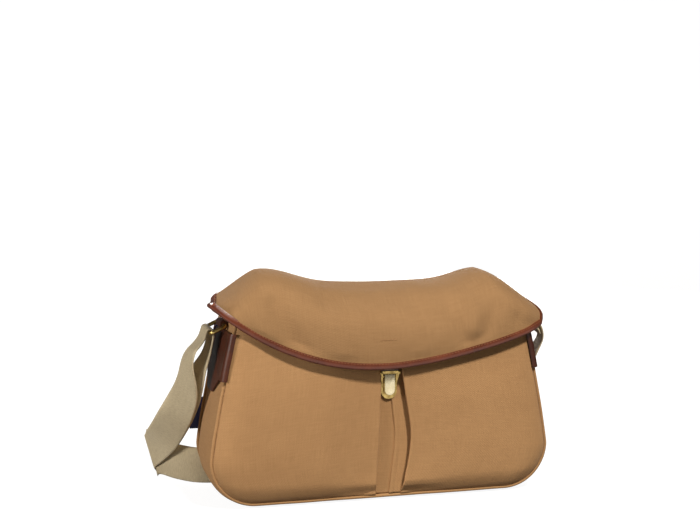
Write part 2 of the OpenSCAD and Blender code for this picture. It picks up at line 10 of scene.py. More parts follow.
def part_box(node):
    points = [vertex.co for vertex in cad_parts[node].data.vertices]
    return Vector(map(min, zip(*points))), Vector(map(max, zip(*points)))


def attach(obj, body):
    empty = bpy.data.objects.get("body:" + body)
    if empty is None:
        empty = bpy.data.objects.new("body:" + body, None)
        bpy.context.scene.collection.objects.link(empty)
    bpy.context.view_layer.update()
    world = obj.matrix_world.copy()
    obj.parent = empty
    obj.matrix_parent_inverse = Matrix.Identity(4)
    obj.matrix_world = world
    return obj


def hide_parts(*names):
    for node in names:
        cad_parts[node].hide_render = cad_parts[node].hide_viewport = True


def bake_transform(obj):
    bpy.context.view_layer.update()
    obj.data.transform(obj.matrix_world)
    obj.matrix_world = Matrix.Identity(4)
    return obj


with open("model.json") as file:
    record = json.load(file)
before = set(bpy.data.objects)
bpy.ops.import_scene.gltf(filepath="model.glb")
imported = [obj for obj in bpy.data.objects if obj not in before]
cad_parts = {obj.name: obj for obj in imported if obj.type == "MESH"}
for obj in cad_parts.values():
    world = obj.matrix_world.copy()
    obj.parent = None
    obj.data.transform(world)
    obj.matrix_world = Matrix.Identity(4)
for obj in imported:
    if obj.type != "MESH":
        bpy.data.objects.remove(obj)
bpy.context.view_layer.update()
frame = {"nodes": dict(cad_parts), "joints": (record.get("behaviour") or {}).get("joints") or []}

MM = 0.001

# ---- sizes, read from the frame where a node has them ------------------------------------
HALF_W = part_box("gusset")[1].x
RIM_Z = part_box("gusset")[1].z
SEAM_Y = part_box("gusset")[1].y
FACE_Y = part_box("back_panel")[1].y
SEAM_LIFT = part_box("front_panel")[0].z
MOUTH_HALF = 147.5 * MM
CORNER_R = 50 * MM
SIDE_LEAN = 1.15


def mix(a, b, t):
    return a + (b - a) * t


def clamp01(t):
    return max(0.0, min(1.0, t))


def smooth(t):
    t = clamp01(t)
    return t * t * (3 - 2 * t)


def bell(t):
    return math.exp(-t * t)


def through(rows, t):
    """Smooth curve through rows of numbers, t from 0 to 1."""
    last = len(rows) - 1
    s = clamp01(t) * last
    i = min(last - 1, int(s))
    f = s - i
    a, b, c, d = (np.array(rows[max(0, min(last, k))], float) for k in (i - 1, i, i + 1, i + 2))
    return 0.5 * (2 * b + (c - a) * f + (2 * a - 5 * b + 4 * c - d) * f ** 2
                  + (3 * b - a - 3 * c + d) * f ** 3)


def wobble(x, y, z, size, seed):
    """Slow, seeded unevenness between -1 and 1, over about size metres."""
    return noise.noise(Vector((x / size + seed, y / size - seed, z / size + 2 * seed)))


# ---- camera, light and floor -------------------------------------------------------------
CAMERA_TARGET = Vector((0, 0, 0.110))
CAMERA_DISTANCE = 1.4
CAMERA_AZIMUTH = math.radians(-15)
CAMERA_ELEVATION = math.radians(11)


def add_camera():
    a, e = CAMERA_AZIMUTH, CAMERA_ELEVATION
    back = Vector((math.sin(a) * math.cos(e), -math.cos(a) * math.cos(e), math.sin(e)))
    data = bpy.data.cameras.new("camera")
    data.sensor_width = 36
    data.lens = 68.5
    data.shift_x = -0.0303
    data.shift_y = 0.1806
    data.clip_start, data.clip_end = 0.05, 50
    camera = bpy.data.objects.new("camera", data)
    camera.location = CAMERA_TARGET + back * CAMERA_DISTANCE
    camera.rotation_mode = "QUATERNION"
    camera.rotation_quaternion = (-back).to_track_quat("-Z", "Y")
    bpy.context.scene.collection.objects.link(camera)
    bpy.context.scene.camera = camera


def add_area_light(name, place, aim, size, power, colour):
    data = bpy.data.lights.new(name, "AREA")
    data.shape = "DISK"
    data.size = size
    data.energy = power
    data.color = colour
    light = bpy.data.objects.new(name, data)
    light.location = place
    light.rotation_mode = "QUATERNION"
    light.rotation_quaternion = (Vector(aim) - Vector(place)).to_track_quat("-Z", "Y")
    bpy.context.scene.collection.objects.link(light)


STAGE_GLOW = 0.92    # how bright the stage looks to the camera
MIRROR_GLOW = 0.8    # how bright its front part looks in polished brass and leather
MIRROR_Y = -0.15     # where that front part begins


def add_stage():
    """A floor that curves up into a backdrop. It glows for the camera and in reflections only."""
    floor_half, back_y, bend, height = 4.0, 2.2, 0.8, 3.0
    profile = [(-floor_half, 0.0), (back_y - bend, 0.0)]
    for k in range(1, 13):
        a = math.pi / 2 * k / 12
        profile.append((back_y - bend + bend * math.sin(a), bend - bend * math.cos(a)))
    profile.append((back_y, height))
    verts = [(x, y, z - 0.0002) for y, z in profile for x in (-floor_half, floor_half)]
    faces = [(2 * i, 2 * i + 1, 2 * i + 3, 2 * i + 2) for i in range(len(profile) - 1)]
    mesh = bpy.data.meshes.new("stage")
    mesh.from_pydata(verts, [], faces)
    mesh.polygons.foreach_set("use_smooth", [True] * len(faces))
    stage = bpy.data.objects.new("stage", mesh)
    bpy.context.scene.collection.objects.link(stage)
    n = Nodes("stage")
    rays = n.node("ShaderNodeLightPath")
    spot = n.node("ShaderNodeSeparateXYZ", Vector=n.node("ShaderNodeNewGeometry"))
    in_front = n.math("LESS_THAN", spot.outputs[1], MIRROR_Y)
    mirrored = n.math("MULTIPLY", n.math("MULTIPLY", rays.outputs["Is Glossy Ray"], in_front), MIRROR_GLOW)
    seen = n.math("MULTIPLY", rays.outputs["Is Camera Ray"], STAGE_GLOW)
    n.set(Base_Color=(0.20, 0.20, 0.20, 1), Roughness=0.95, Specular_IOR_Level=0.1,
          Emission_Color=(1, 1, 1, 1), Emission_Strength=n.math("ADD", seen, mirrored))
    mesh.materials.append(n.material)


def add_lights():
    """Three soft lights, and a world that is bright to the camera but hardly lights the bag."""
    world = bpy.data.worlds.new("studio")
    world.use_nodes = True
    background = world.node_tree.nodes["Background"]
    background.inputs["Color"].default_value = (1.0, 0.97, 0.93, 1)
    bpy.context.scene.world = world
    rays = world.node_tree.nodes.new("ShaderNodeLightPath")
    level = world.node_tree.nodes.new("ShaderNodeMapRange")
    level.inputs["To Min"].default_value = 0.05
    level.inputs["To Max"].default_value = 1.0
    world.node_tree.links.new(rays.outputs["Is Camera Ray"], level.inputs["Value"])
    world.node_tree.links.new(level.outputs[0], background.inputs["Strength"])
    add_area_light("key", (0.45, -1.6, 2.05), (0, 0, 0.08), 0.32, 72, (1.0, 0.97, 0.91))
    add_area_light("fill", (-2.1, -0.7, 0.7), (0, 0, 0.1), 0.8, 30, (1.0, 0.97, 0.92))
    add_area_light("back", (0.6, 1.6, 0.4), (0, 0, 0.08), 0.8, 18, (1.0, 0.97, 0.92))
    bpy.context.scene.view_settings.view_transform = "Standard"
    bpy.context.scene.view_settings.look = "None"


# ---- materials ---------------------------------------------------------------------------
class Nodes:
    """Short names for building one material's nodes."""

    def __init__(self, name):
        self.material = bpy.data.materials.new(name)
        self.material.use_nodes = True
        self.tree = self.material.node_tree
        self.shader = self.tree.nodes["Principled BSDF"]

    def link(self, source, target):
        if hasattr(source, "outputs"):
            source = source.outputs[0]
        self.tree.links.new(source, target)

    def node(self, kind, **inputs):
        n = self.tree.nodes.new(kind)
        for key, value in inputs.items():
            self.put(n.inputs[key.replace("_", " ")], value)
        return n

    def put(self, socket, value):
        if isinstance(value, (bpy.types.Node, bpy.types.NodeSocket)):
            self.link(value, socket)
        else:
            socket.default_value = value

    def math(self, operation, a, b=0.0):
        n = self.tree.nodes.new("ShaderNodeMath")
        n.operation = operation
        self.put(n.inputs[0], a)
        self.put(n.inputs[1], b)
        return n.outputs[0]

    def mix(self, factor, a, b):
        n = self.tree.nodes.new("ShaderNodeMix")
        n.data_type = "RGBA"
        self.put(n.inputs[0], factor)
        self.put(n.inputs[6], a)
        self.put(n.inputs[7], b)
        return n.outputs[2]

    def ramp(self, factor, low, high, a=0.0, b=1.0):
        """Maps factor from low..high onto a..b, held at the ends."""
        n = self.tree.nodes.new("ShaderNodeMapRange")
        for socket, value in zip(n.inputs, (factor, low, high, a, b)):
            self.put(socket, value)
        return n.outputs[0]

    def noise(self, vector, scale, detail=2.0, rough=0.5):
        n = self.node("ShaderNodeTexNoise", Scale=scale, Detail=detail, Roughness=rough)
        self.link(vector, n.inputs["Vector"])
        return n.outputs[0]

    def scaled(self, vector, factors):
        n = self.tree.nodes.new("ShaderNodeVectorMath")
        n.operation = "MULTIPLY"
        self.link(vector, n.inputs[0])
        n.inputs[1].default_value = factors
        return n.outputs[0]

    def uv(self):
        return self.tree.nodes.new("ShaderNodeUVMap").outputs[0]

    def place(self):
        return self.tree.nodes.new("ShaderNodeTexCoord").outputs["Object"]

    def bump(self, height, distance, strength):
        n = self.tree.nodes.new("ShaderNodeBump")
        n.inputs["Strength"].default_value = strength
        n.inputs["Distance"].default_value = distance
        self.link(height, n.inputs["Height"])
        self.link(n.outputs[0], self.shader.inputs["Normal"])

    def set(self, **values):
        for key, value in values.items():
            self.put(self.shader.inputs[key.replace("_", " ")], value)
        return self.material


def rgb(r, g, b):
    """sRGB from 0 to 255, as a linear colour."""
    def line(c):
        c = c / 255
        return c / 12.92 if c <= 0.04045 else ((c + 0.055) / 1.055) ** 2.4
    return (line(r), line(g), line(b), 1)


def woven_cloth(name, light, dark, pitch, slub=0.5, depth=0.22):
    """Close weave: warp and weft ribs with a slight diagonal, uneven threads and a soft bloom."""
    n = Nodes(name)
    uv = n.uv()
    parts = n.node("ShaderNodeSeparateXYZ", Vector=uv)
    turn = 2 * math.pi / pitch
    warp = n.math("SINE", n.math("MULTIPLY", parts.outputs[0], turn))
    weft = n.math("SINE", n.math("MULTIPLY", parts.outputs[1], turn))
    diagonal = n.math("ADD", n.math("MULTIPLY", parts.outputs[0], 0.8), parts.outputs[1])
    slant = n.math("SINE", n.math("MULTIPLY", diagonal, turn * 0.5))
    weave = n.math("ADD", n.math("MULTIPLY", warp, weft), n.math("MULTIPLY", slant, 0.45))
    warp_thread = n.noise(n.scaled(uv, (900, 45, 1)), 1.0, 2.0)
    weft_thread = n.noise(n.scaled(uv, (45, 900, 1)), 1.0, 2.0)
    threads = n.math("ADD", warp_thread, weft_thread)
    cloudy = n.noise(n.place(), 9.0, 3.0)
    blotch = n.noise(n.place(), 60.0, 3.0)
    tone = n.ramp(weave, -1.4, 1.4, 0.0, 0.36)
    tone = n.math("ADD", tone, n.ramp(threads, 0.7, 1.3, 0.0, slub))
    tone = n.math("ADD", tone, n.ramp(cloudy, 0.3, 0.7, -0.10, 0.12))
    tone = n.math("ADD", tone, n.ramp(blotch, 0.3, 0.7, -0.05, 0.05))
    colour = n.mix(n.ramp(tone, 0.0, 1.0), dark, light)
    height = n.math("ADD", weave, n.math("MULTIPLY", threads, 1.5))
    n.bump(height, depth * MM, 0.55)
    return n.set(Base_Color=colour, Roughness=0.88, Sheen_Weight=0.05, Sheen_Roughness=0.45)


def hide(name, light, dark, rough, coat, specular):
    """Waxed leather: fine pebbled grain, drawn pull-up colour and a soft shine."""
    n = Nodes(name)
    place = n.place()
    cells = n.node("ShaderNodeTexVoronoi", Scale=420.0)
    n.link(place, cells.inputs["Vector"])
    pores = n.noise(place, 900.0, 2.0)
    cloudy = n.noise(place, 28.0, 4.0, 0.6)
    rubbed = n.noise(n.scaled(place, (60, 60, 160)), 1.0, 3.0, 0.6)
    tone = n.math("ADD", n.ramp(cloudy, 0.32, 0.68, 0.0, 0.7), n.ramp(rubbed, 0.35, 0.75, 0.0, 0.35))
    tone = n.math("SUBTRACT", tone, n.ramp(cells.outputs[0], 0.0, 0.5, 0.12, 0.0))
    colour = n.mix(n.ramp(tone, 0.0, 1.0), dark, light)
    height = n.math("ADD", n.math("MULTIPLY", cells.outputs[0], 0.8), n.math("MULTIPLY", pores, 0.5))
    n.bump(height, 0.10 * MM, 0.5)
    roughness = n.ramp(cloudy, 0.3, 0.7, rough - 0.06, rough + 0.10)
    return n.set(Base_Color=colour, Roughness=roughness, Specular_IOR_Level=specular,
                 Coat_Weight=coat, Coat_Roughness=0.25)


def metal(name, light, dark, rough_low, rough_high, patchy=0.6):
    """Brass: bright where it is handled, with dull patches and fine scratches."""
    n = Nodes(name)
    place = n.place()
    stain = n.noise(place, 170.0, 4.0, 0.6)
    scratch = n.noise(n.scaled(place, (2600, 260, 900)), 1.0, 2.0)
    tone = n.math("ADD", n.ramp(stain, 0.35, 0.65, 0.0, patchy), n.ramp(scratch, 0.4, 0.7, 0.0, 1 - patchy))
    colour = n.mix(n.ramp(tone, 0.0, 1.0), light, dark)
    n.bump(n.math("ADD", scratch, n.math("MULTIPLY", stain, 2.0)), 0.03 * MM, 0.35)
    return n.set(Base_Color=colour, Roughness=n.ramp(tone, 0.0, 1.0, rough_low, rough_high), Metallic=1.0)


def strap_webbing():
    """Flat cotton webbing: rows of chevrons between two plain edges."""
    n = Nodes("webbing")
    parts = n.node("ShaderNodeSeparateXYZ", Vector=n.uv())
    across, along = parts.outputs[0], parts.outputs[1]
    stripe = n.math("FRACT", n.math("DIVIDE", across, 6.2 * MM))
    fold = n.math("ABSOLUTE", n.math("SUBTRACT", stripe, 0.5))
    row = n.math("ADD", along, n.math("MULTIPLY", fold, 5.0 * MM))
    rib = n.math("SINE", n.math("MULTIPLY", row, 2 * math.pi / (1.35 * MM)))
    cord = n.math("SINE", n.math("MULTIPLY", across, 2 * math.pi / (0.9 * MM)))
    weave = n.math("ADD", rib, n.math("MULTIPLY", cord, 0.4))
    uneven = n.noise(n.scaled(n.uv(), (260, 700, 1)), 1.0, 3.0)
    grubby = n.noise(n.place(), 30.0, 3.0)
    tone = n.math("ADD", n.ramp(weave, -1.4, 1.4, 0.0, 0.5), n.ramp(uneven, 0.3, 0.7, 0.0, 0.35))
    tone = n.math("ADD", tone, n.ramp(grubby, 0.3, 0.7, -0.08, 0.15))
    colour = n.mix(n.ramp(tone, 0.0, 1.0), rgb(186, 166, 130), rgb(234, 217, 182))
    n.bump(weave, 0.28 * MM, 0.6)
    return n.set(Base_Color=colour, Roughness=0.82, Sheen_Weight=0.15, Sheen_Roughness=0.4)


def thread(name, colour):
    n = Nodes(name)
    twist = n.noise(n.place(), 1800.0, 1.0)
    n.bump(twist, 0.08 * MM, 0.6)
    return n.set(Base_Color=n.mix(twist, colour, tuple(0.7 * c for c in colour[:3]) + (1,)), Roughness=0.7)


def card(name, colour):
    n = Nodes(name)
    fibre = n.noise(n.place(), 700.0, 3.0)
    n.bump(fibre, 0.04 * MM, 0.4)
    dull = tuple(1.6 * c for c in colour[:3]) + (1,)
    return n.set(Base_Color=n.mix(fibre, colour, dull), Roughness=0.5)


DRILL = woven_cloth("drill", rgb(196, 150, 101), rgb(163, 120, 76), 1.25 * MM, 0.32, 0.16)
# The flap's drill is the same cloth as the body's, in a darker copy: painted shade that dims the up-facing
# flap, which the key light brightens more than the front.
FLAP_DRILL_PAINTED_SHADE = woven_cloth("flap_drill_painted_shade", rgb(171, 130, 86), rgb(140, 103, 63), 1.25 * MM, 0.32, 0.16)
LINING = woven_cloth("lining_cloth", rgb(158, 136, 100), rgb(116, 98, 66), 1.0 * MM)
LEATHER = hide("bridle_leather", rgb(122, 59, 33), rgb(76, 31, 16), 0.30, 0.05, 0.5)
PATCH_LEATHER = hide("patch_leather", rgb(88, 42, 22), rgb(50, 21, 10), 0.40, 0.0, 0.32)
WEBBING = strap_webbing()
BRASS = metal("antique_brass", rgb(222, 192, 120), rgb(128, 100, 54), 0.26, 0.46)
POLISHED = metal("polished_brass", rgb(246, 232, 196), rgb(214, 192, 142), 0.18, 0.34, 0.4)
LEATHER_THREAD = thread("leather_thread", rgb(150, 96, 62))
CLOTH_THREAD = thread("cloth_thread", rgb(170, 124, 78))
NAVY = rgb(34, 44, 92)
NAVY_CARD = card("navy_card", NAVY)
NAVY_THREAD = thread("navy_thread", NAVY)


# ---- mesh helpers ------------------------------------------------------------------------
def new_object(name, verts, faces, material):
    mesh = bpy.data.meshes.new(name)
    mesh.from_pydata([tuple(v) for v in verts], [], faces)
    mesh.materials.append(material)
    mesh.polygons.foreach_set("use_smooth", [True] * len(faces))
    obj = bpy.data.objects.new(name, mesh)
    bpy.context.scene.collection.objects.link(obj)
    return obj


def bake_modifiers(obj):
    """Puts the object's modifiers into its mesh."""
    graph = bpy.context.evaluated_depsgraph_get()
    made = bpy.data.meshes.new_from_object(obj.evaluated_get(graph))
    obj.modifiers.clear()
    obj.data = made
    return obj


def finish_edges(obj, degrees=40):
    """Smooth shading, with sharp edges where the faces turn by more than some degrees."""
    obj.data.polygons.foreach_set("use_smooth", [True] * len(obj.data.polygons))
    obj.data.set_sharp_from_angle(angle=math.radians(degrees))
    return obj


def thicken(obj, thickness):
    """Gives a sheet its thickness, on the side its faces point away from."""
    m = obj.modifiers.new("thick", "SOLIDIFY")
    m.thickness = thickness
    m.offset = -1.0
    m.use_even_offset = False
    return bake_modifiers(obj)


def cloth_grid(name, fn, nu, nv, material, thickness, flip):
    """Sheet through fn(u, v), u and v from 0 to 1, with its UVs in metres measured along the cloth."""
    points = np.array([[fn(i / nu, j / nv) for j in range(nv + 1)] for i in range(nu + 1)], float)
    across = np.zeros(points.shape[:2])
    along = np.zeros(points.shape[:2])
    across[1:] = np.cumsum(np.linalg.norm(np.diff(points, axis=0), axis=2), axis=0)
    across -= across[nu // 2]
    along[:, 1:] = np.cumsum(np.linalg.norm(np.diff(points, axis=1), axis=2), axis=1)
    verts = points.reshape(-1, 3)
    cols = nv + 1
    faces = []
    for i in range(nu):
        for j in range(nv):
            f = (i * cols + j, (i + 1) * cols + j, (i + 1) * cols + j + 1, i * cols + j + 1)
            faces.append(f[::-1] if flip else f)
    obj = new_object(name, verts, faces, material)
    layer = obj.data.uv_layers.new(name="cloth")
    index = np.empty(len(obj.data.loops), int)
    obj.data.loops.foreach_get("vertex_index", index)
    uv = np.stack([across.reshape(-1)[index], along.reshape(-1)[index]], axis=1)
    layer.data.foreach_set("uv", uv.reshape(-1))
    return thicken(obj, thickness)


def swept(name, centres, sides, section, material):
    """Skin round a path. sides gives two directions at each station, section the points in them."""
    count = len(section)
    verts = []
    for c, (a, b) in zip(centres, sides):
        verts += [Vector(c) + Vector(a) * p + Vector(b) * q for p, q in section]
    faces = []
    for i in range(len(centres) - 1):
        for k in range(count):
            m = (k + 1) % count
            faces.append((i * count + k, i * count + m, (i + 1) * count + m, (i + 1) * count + k))
    last = (len(centres) - 1) * count
    faces.append(tuple(range(count - 1, -1, -1)))
    faces.append(tuple(last + k for k in range(count)))
    obj = new_object(name, verts, faces, material)
    lengths = np.concatenate([[0], np.cumsum([(Vector(b) - Vector(a)).length
                                              for a, b in zip(centres, centres[1:])])])
    around = np.concatenate([[0], np.cumsum([math.dist(section[k], section[(k + 1) % count])
                                             for k in range(count)])])
    layer = obj.data.uv_layers.new(name="cloth")
    for polygon in obj.data.polygons:
        for corner in polygon.loop_indices:
            v = obj.data.loops[corner].vertex_index
            station, k = divmod(v, count)
            layer.data[corner].uv = (around[k], lengths[station])
    return obj


def joined(objects, name):
    """One object from several that share a material list."""
    bpy.ops.object.select_all(action="DESELECT")
    for o in objects:
        o.select_set(True)
    bpy.context.view_layer.objects.active = objects[0]
    bpy.ops.object.join()
    objects[0].name = name
    objects[0].data.name = name
    return objects[0]


# One stitch, from hole to hole: share of its length, of its width, and height over its width
STITCH = [(0.0, 0.45, -0.35), (0.18, 0.95, 0.3), (0.5, 1.0, 0.5), (0.82, 0.95, 0.3), (1.0, 0.45, -0.35)]


def stitches(name, path, normals, material, length, gap, width):
    """Short thread lengths laid end to end along a path, their ends sunk in the surface."""
    path = [Vector(p) for p in path]
    normals = [Vector(n).normalized() for n in normals]
    steps = [0.0]
    for a, b in zip(path, path[1:]):
        steps.append(steps[-1] + (b - a).length)
    total = steps[-1]
    count = max(1, int((total + gap) / (length + gap)))
    pitch = (total + gap) / count

    def at(s):
        s = max(0.0, min(total, s))
        k = max(0, min(len(steps) - 2, int(np.searchsorted(steps, s)) - 1))
        f = (s - steps[k]) / max(1e-9, steps[k + 1] - steps[k])
        return path[k].lerp(path[k + 1], f), normals[k].lerp(normals[k + 1], f).normalized()

    verts, faces = [], []
    ring, last = 6, len(STITCH) - 1
    for c in range(count):
        s0 = c * pitch
        s1 = s0 + pitch - gap
        a, na = at(s0)
        b, nb = at(s1)
        ahead = (b - a).normalized()
        n = (na + nb).normalized()
        side = ahead.cross(n).normalized()
        base = len(verts)
        for f, r, lift in STITCH:
            centre = a.lerp(b, f) + n * (width * lift)
            for k in range(ring):
                t = 2 * math.pi * k / ring
                verts.append(centre + side * (width * r * math.cos(t)) + n * (width * r * math.sin(t)))
        for row in range(last):
            for k in range(ring):
                m = (k + 1) % ring
                faces.append((base + row * ring + k, base + row * ring + m,
                              base + (row + 1) * ring + m, base + (row + 1) * ring + k))
        faces.append(tuple(base + k for k in range(ring - 1, -1, -1)))
        faces.append(tuple(base + last * ring + k for k in range(ring)))
    return new_object(name, verts, faces, material)


def softened(node, name, material, bevel):
    """A copy of a CAD node with its edges rounded over."""
    mesh = frame["nodes"][node].data.copy()
    mesh.name = name
    mesh.materials.clear()
    mesh.materials.append(material)
    obj = bpy.data.objects.new(name, mesh)
    bpy.context.scene.collection.objects.link(obj)
    weld = obj.modifiers.new("weld", "WELD")
    weld.merge_threshold = 0.00001
    flat = obj.modifiers.new("flat", "DECIMATE")
    flat.decimate_type = "DISSOLVE"
    flat.angle_limit = math.radians(8)
    round_over = obj.modifiers.new("round", "BEVEL")
    round_over.width = bevel
    round_over.segments = 3
    round_over.limit_method = "ANGLE"
    round_over.angle_limit = math.radians(35)
    round_over.harden_normals = False
    bake_modifiers(obj)
    obj.data.materials.clear()
    obj.data.materials.append(material)
    finish_edges(obj, 50)
    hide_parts(node)
    return obj


# ---- the body's outline ------------------------------------------------------------------
def wall_x(z):
    """Half width of the body at height z above the corners."""
    rise = max(0.0, z - CORNER_R) / (RIM_Z - CORNER_R)
    return HALF_W - (HALF_W - MOUTH_HALF) * rise ** SIDE_LEAN


def panel_x(z):
    """Half width of the front and back panels at any height."""
    if z >= CORNER_R:
        return wall_x(z)
    r = CORNER_R - SEAM_LIFT
    return HALF_W - r + math.sqrt(max(0.0, r * r - (CORNER_R - z) ** 2))


def half_seam():
    """The right half of the seam line, from the middle of the bottom up to the rim."""
    r = CORNER_R - SEAM_LIFT
    middle = HALF_W - r
    points = [(middle * k / 60, SEAM_LIFT) for k in range(60)]
    points += [(middle + r * math.sin(a), CORNER_R - r * math.cos(a))
               for a in (math.pi / 2 * k / 30 for k in range(31))]
    points += [(wall_x(z), z) for z in (mix(CORNER_R, RIM_Z, k / 60) for k in range(1, 61))]
    return np.array(points)


SEAM = half_seam()
SEAM_S = np.concatenate([[0], np.cumsum(np.linalg.norm(np.diff(SEAM, axis=0), axis=1))])
SEAM_LENGTH = SEAM_S[-1]


def seam_at(s):
    """Point and outward direction of the seam line, s from -1 at the left rim to 1 at the right."""
    d = abs(s) * SEAM_LENGTH
    step = 1.5 * MM
    x, z = np.interp(d, SEAM_S, SEAM[:, 0]), np.interp(d, SEAM_S, SEAM[:, 1])
    lo, hi = max(0, d - step), min(SEAM_LENGTH, d + step)
    tx = np.interp(hi, SEAM_S, SEAM[:, 0]) - np.interp(lo, SEAM_S, SEAM[:, 0])
    tz = np.interp(hi, SEAM_S, SEAM[:, 1]) - np.interp(lo, SEAM_S, SEAM[:, 1])
    size = math.hypot(tx, tz)
    side = 1 if s >= 0 else -1
    return side * x, z, side * tz / size, -tx / size


def gusset_bulge(z, down):
    """How far the gusset swells out of the seam line at mid depth."""
    side = mix(4.6, 4.0, smooth((z / MM - 70) / 60)) - 2.6 * smooth((z / MM - 176) / 16)
    return mix(side, SEAM_LIFT / MM, smooth(down * 1.3)) * MM


def gusset_point(s, t, out=0.0):
    """s runs along the seam line, t from the front seam to the back one."""
    x, z, nx, nz = seam_at(s)
    down = max(0.0, -nz)
    edge = abs(2 * t - 1)
    swell = gusset_bulge(z, down) * (1 - edge ** mix(2.6, 9, smooth(down)))
    if down < 0.9:
        swell += 0.7 * MM * wobble(x, t * 0.1, z, 0.05, 3.1) * (1 - edge ** 4) * (1 - down)
    y = mix(-SEAM_Y, SEAM_Y, t)
    return (x + nx * (swell + out), y, z + nz * (swell + out))


def build_gusset():
    obj = cloth_grid("gusset_cloth", lambda u, v: gusset_point(2 * u - 1, v), 260, 36, DRILL,
                     1.4 * MM, flip=True)
    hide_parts("gusset")
    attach(obj, "body")


def build_piping():
    count, r, out = 320, 1.9 * MM, 1.3 * MM
    section = [(r * math.cos(a), r * math.sin(a)) for a in (2 * math.pi * k / 10 for k in range(10))]
    for name, node, y in (("front_welt", "front_piping", -1), ("back_welt", "back_piping", 1)):
        centres, sides = [], []
        for k in range(count + 1):
            s = 2 * k / count - 1
            x, z, nx, nz = seam_at(s)
            lie = out + 0.25 * MM * wobble(x, y * 0.3, z, 0.03, 7.7)
            centres.append((x + nx * lie, y * (SEAM_Y + 2.0 * MM), z + nz * lie))
            sides.append(((nx, 0, nz), (0, 1, 0)))
        obj = swept(name, centres, sides, section, DRILL)
        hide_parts(node)
        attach(obj, "body")


# ---- front and back panels, pockets and pleat --------------------------------------------
def seam_gap(x, z):
    """Distance from the seam line, roughly, for a point inside it."""
    if z > CORNER_R:
        return max(0.0, panel_x(z) - abs(x))
    r = CORNER_R - SEAM_LIFT
    if abs(x) > HALF_W - r:
        return max(0.0, r - math.hypot(abs(x) - (HALF_W - r), CORNER_R - z))
    return z - SEAM_LIFT


def puff(x, z, height, reach):
    """A stuffed panel's swell: quick out of the seam, then nearly level."""
    gap = min(seam_gap(x, z), z - SEAM_LIFT)
    return height * (1 - math.exp(-max(0.0, gap) / reach))


# Left and right folded edges of the pleat, then its centre seam, in millimetres, from the bottom up
FOLD_ROWS = [(-8.5, 17), (-8.3, 20.5), (-7, 25), (-5.5, 26.8), (-4.5, 24), (-3.6, 20), (-3.6, 16.5),
             (-3.6, 16)]
SEAM_ROWS = [5, 7.4, 10.6, 11.8, 9.4, 7, 6.2, 6]
FOLD_TOP = 165 * MM


def fold_x(side, z):
    """The pleat's folded edge, left or right of the lock."""
    row = through(FOLD_ROWS, z / FOLD_TOP)
    return row[0 if side < 0 else 1] * MM


def pocket_top(x):
    """Height of the pocket's mouth, which dips towards the lock."""
    return mix(160 * MM, 187 * MM, min(1.0, abs(x) / (150 * MM)) ** 2)


def pocket_depth(side, x, z):
    """How far the pocket's cloth stands out of the front panel."""
    swell = puff(x, z, 11.0 * MM, 11 * MM)
    swell *= 1 - 0.42 * smooth((z - 95 * MM) / (85 * MM))
    near = smooth(abs(x - fold_x(side, z)) / (60 * MM))
    edge = (8.2 if side > 0 else 4.6) * MM * smooth((z - SEAM_LIFT) / (14 * MM))
    swell = mix(min(swell, edge), swell, near)
    swell += 0.9 * MM * wobble(x, 0, z, 0.09, 1.7 * side) * smooth(swell / (8 * MM))
    swell += 0.35 * MM * wobble(x, 0, z, 0.028, 5.3 * side) * smooth(swell / (8 * MM))
    swell += 0.5 * MM * bell((z - 19 * MM - 0.03 * abs(x)) / (7 * MM)) * smooth(seam_gap(x, z) / (12 * MM))
    return swell


def pocket_point(side, u, w):
    """u from 0, under the fold, to 1 at the side seam. w from the bottom seam to the mouth."""
    fold_share = 0.12
    r = 1.5 * MM
    z0 = mix(SEAM_LIFT + 0.5 * MM, FOLD_TOP, w)
    share = clamp01((u - fold_share) / (1 - fold_share))
    x_flat = mix(abs(fold_x(side, z0)), panel_x(z0) - 0.3 * MM, share)
    z = mix(SEAM_LIFT + 0.5 * MM, pocket_top(x_flat), w)
    fold = fold_x(side, z)
    edge = side * (panel_x(z) - 0.3 * MM)
    base = FACE_Y + 1.4 * MM
    if u >= fold_share:
        x = mix(fold + side * r, edge, share ** 0.9)
        return (x, -base - pocket_depth(side, x, z), z)
    front = pocket_depth(side, fold + side * r, z)
    if u > fold_share / 2:
        a = math.pi * (1 - (u - fold_share / 2) / (fold_share / 2))
        small = min(r, front / 2)
        return (fold + side * (r - r * math.sin(a)), -base - front + small * (1 - math.cos(a)), z)
    back = 1 - u / (fold_share / 2)
    small = min(r, front / 2)
    x = fold + side * (r + 11 * MM * back)
    return (x, -base - mix(front - 2 * small, -0.7 * MM, smooth(max(0.0, back - 0.3) * 2)), z)


def build_pockets():
    for side, name, node in ((-1, "pocket_cloth_left", "pocket_left"),
                             (1, "pocket_cloth_right", "pocket_right")):
        obj = cloth_grid(name, lambda u, v: pocket_point(side, u, v), 170, 120, DRILL, 1.2 * MM,
                         flip=side < 0)
        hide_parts(node)
        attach(obj, "body")


def pleat_point(u, w):
    """The underlay between the pockets, with a ridged seam down its middle."""
    z = mix(SEAM_LIFT + 1 * MM, FOLD_TOP - 4 * MM, w)
    left, right = fold_x(-1, z) - 9 * MM, fold_x(1, z) + 9 * MM
    x = mix(left, right, u)
    seam = through(SEAM_ROWS, z / FOLD_TOP) * MM
    step = smooth((x - seam) / (0.6 * MM) + 0.5)
    swell = 0.5 * MM + 1.1 * MM * step + 0.6 * MM * bell((x - seam - 2.0 * MM) / (2.4 * MM)) * step
    swell -= 0.6 * MM * bell((x - seam + 0.5 * MM) / (0.6 * MM))
    swell += 0.3 * MM * wobble(x, 0, z, 0.03, 9.1)
    return (x, -FACE_Y - swell, z)


def build_pleat():
    obj = cloth_grid("pleat_cloth", pleat_point, 140, 90, DRILL, 0.5 * MM, flip=False)
    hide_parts("centre_pleat")
    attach(obj, "body")


